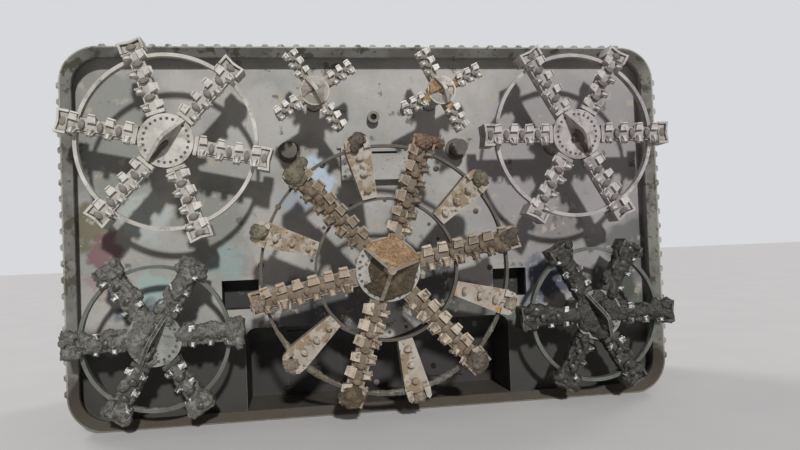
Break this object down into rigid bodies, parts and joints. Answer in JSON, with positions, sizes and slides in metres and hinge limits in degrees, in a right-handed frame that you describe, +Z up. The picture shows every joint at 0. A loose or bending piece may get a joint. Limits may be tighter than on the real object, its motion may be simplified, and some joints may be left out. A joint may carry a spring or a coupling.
{
  "type": "tunnel boring machine cutterhead",
  "caption": "Front section of a rectangular box-jacking tunnel machine: spoke rotors with scrapers and rings on parallel shafts in a rounded rectangular shield.",
  "frame": {"origin": "middle of the flat bottom, halfway between the nose point and the tail face", "axes": "-Y is the digging direction, +X is to the right seen from the face, +Z is up"},
  "size_m": [6.92, 3.17, 4.22],
  "materials": {
    "skin_steel": "grey shop paint, scratched and dusty",
    "edge_steel": "worn plate steel with packed soil",
    "bulkhead_paint": "pale grey paint, stained by soil and water",
    "housing_iron": "grey cast housing",
    "drive_paint": "blue-grey machinery enamel",
    "dust_steel": "dried clay dust on bare steel",
    "clay_steel": "brown clay over worn steel",
    "mud_steel": "wet dark mud over steel",
    "tool_steel": "hard-faced steel rubbed bare at the edges"
  },
  "bodies": {
    "shield": {"cutting_edge": "edge_steel", "shield_skin": "skin_steel", "bulkhead": "bulkhead_paint", "bulkhead_ribs": "bulkhead_paint", "hatch_box": "bulkhead_paint", "centre_seal": "bulkhead_paint", "spray_nozzle": "edge_steel", "mixing_bars": "mud_steel", "muck_bay": "mud_steel", "bay_rear_wall": "mud_steel", "conveyor_ports": "mud_steel", "port_gates": "mud_steel", "window_frames": "bulkhead_paint", "window_ducts": "mud_steel", "centre_bearing": "housing_iron", "side_bearings": "housing_iron", "centre_drive": "drive_paint", "side_drives": "drive_paint", "tail_ring": "skin_steel", "jack_seats": "edge_steel"},
    "centre_rotor": {"centre_hub": "clay_steel", "centre_arms": "clay_steel", "centre_side_plates": "clay_steel", "centre_outer_ring": "clay_steel", "centre_inner_ring": "clay_steel", "centre_tools": "tool_steel", "centre_nose": "clay_steel"},
    "upper_left_rotor": {"upper_left_hub": "dust_steel", "upper_left_arms": "dust_steel", "upper_left_ring": "dust_steel", "upper_left_tools": "tool_steel", "upper_left_blade": "dust_steel"},
    "upper_right_rotor": {"upper_right_hub": "dust_steel", "upper_right_arms": "dust_steel", "upper_right_ring": "dust_steel", "upper_right_tools": "tool_steel", "upper_right_blade": "dust_steel"},
    "lower_left_rotor": {"lower_left_hub": "mud_steel", "lower_left_arms": "mud_steel", "lower_left_ring": "mud_steel", "lower_left_tools": "mud_steel", "lower_left_blade": "mud_steel"},
    "lower_right_rotor": {"lower_right_hub": "mud_steel", "lower_right_arms": "mud_steel", "lower_right_ring": "mud_steel", "lower_right_tools": "mud_steel", "lower_right_blade": "mud_steel"},
    "small_left_rotor": {"small_left_hub": "dust_steel", "small_left_arms": "dust_steel", "small_left_blade": "dust_steel"},
    "small_right_rotor": {"small_right_hub": "dust_steel", "small_right_arms": "dust_steel", "small_right_blade": "dust_steel"}
  },
  "joints": [
    {"name": "centre_turn", "type": "hinge", "parent": "shield", "child": "centre_rotor", "pos_m": [0, 0, 1.65], "axis": [0, -1, 0], "continuous": true},
    {"name": "upper_left_turn", "type": "hinge", "parent": "shield", "child": "upper_left_rotor", "pos_m": [-2.26, 0, 3.087], "axis": [0, -1, 0], "continuous": true},
    {"name": "upper_right_turn", "type": "hinge", "parent": "shield", "child": "upper_right_rotor", "pos_m": [2.26, 0, 3.087], "axis": [0, -1, 0], "continuous": true},
    {"name": "lower_left_turn", "type": "hinge", "parent": "shield", "child": "lower_left_rotor", "pos_m": [-2.452, 0, 1.011], "axis": [0, -1, 0], "continuous": true},
    {"name": "lower_right_turn", "type": "hinge", "parent": "shield", "child": "lower_right_rotor", "pos_m": [2.452, 0, 1.011], "axis": [0, -1, 0], "continuous": true},
    {"name": "small_left_turn", "type": "hinge", "parent": "shield", "child": "small_left_rotor", "pos_m": [-0.696, 0, 3.593], "axis": [0, -1, 0], "continuous": true},
    {"name": "small_right_turn", "type": "hinge", "parent": "shield", "child": "small_right_rotor", "pos_m": [0.696, 0, 3.593], "axis": [0, -1, 0], "continuous": true}
  ]
}
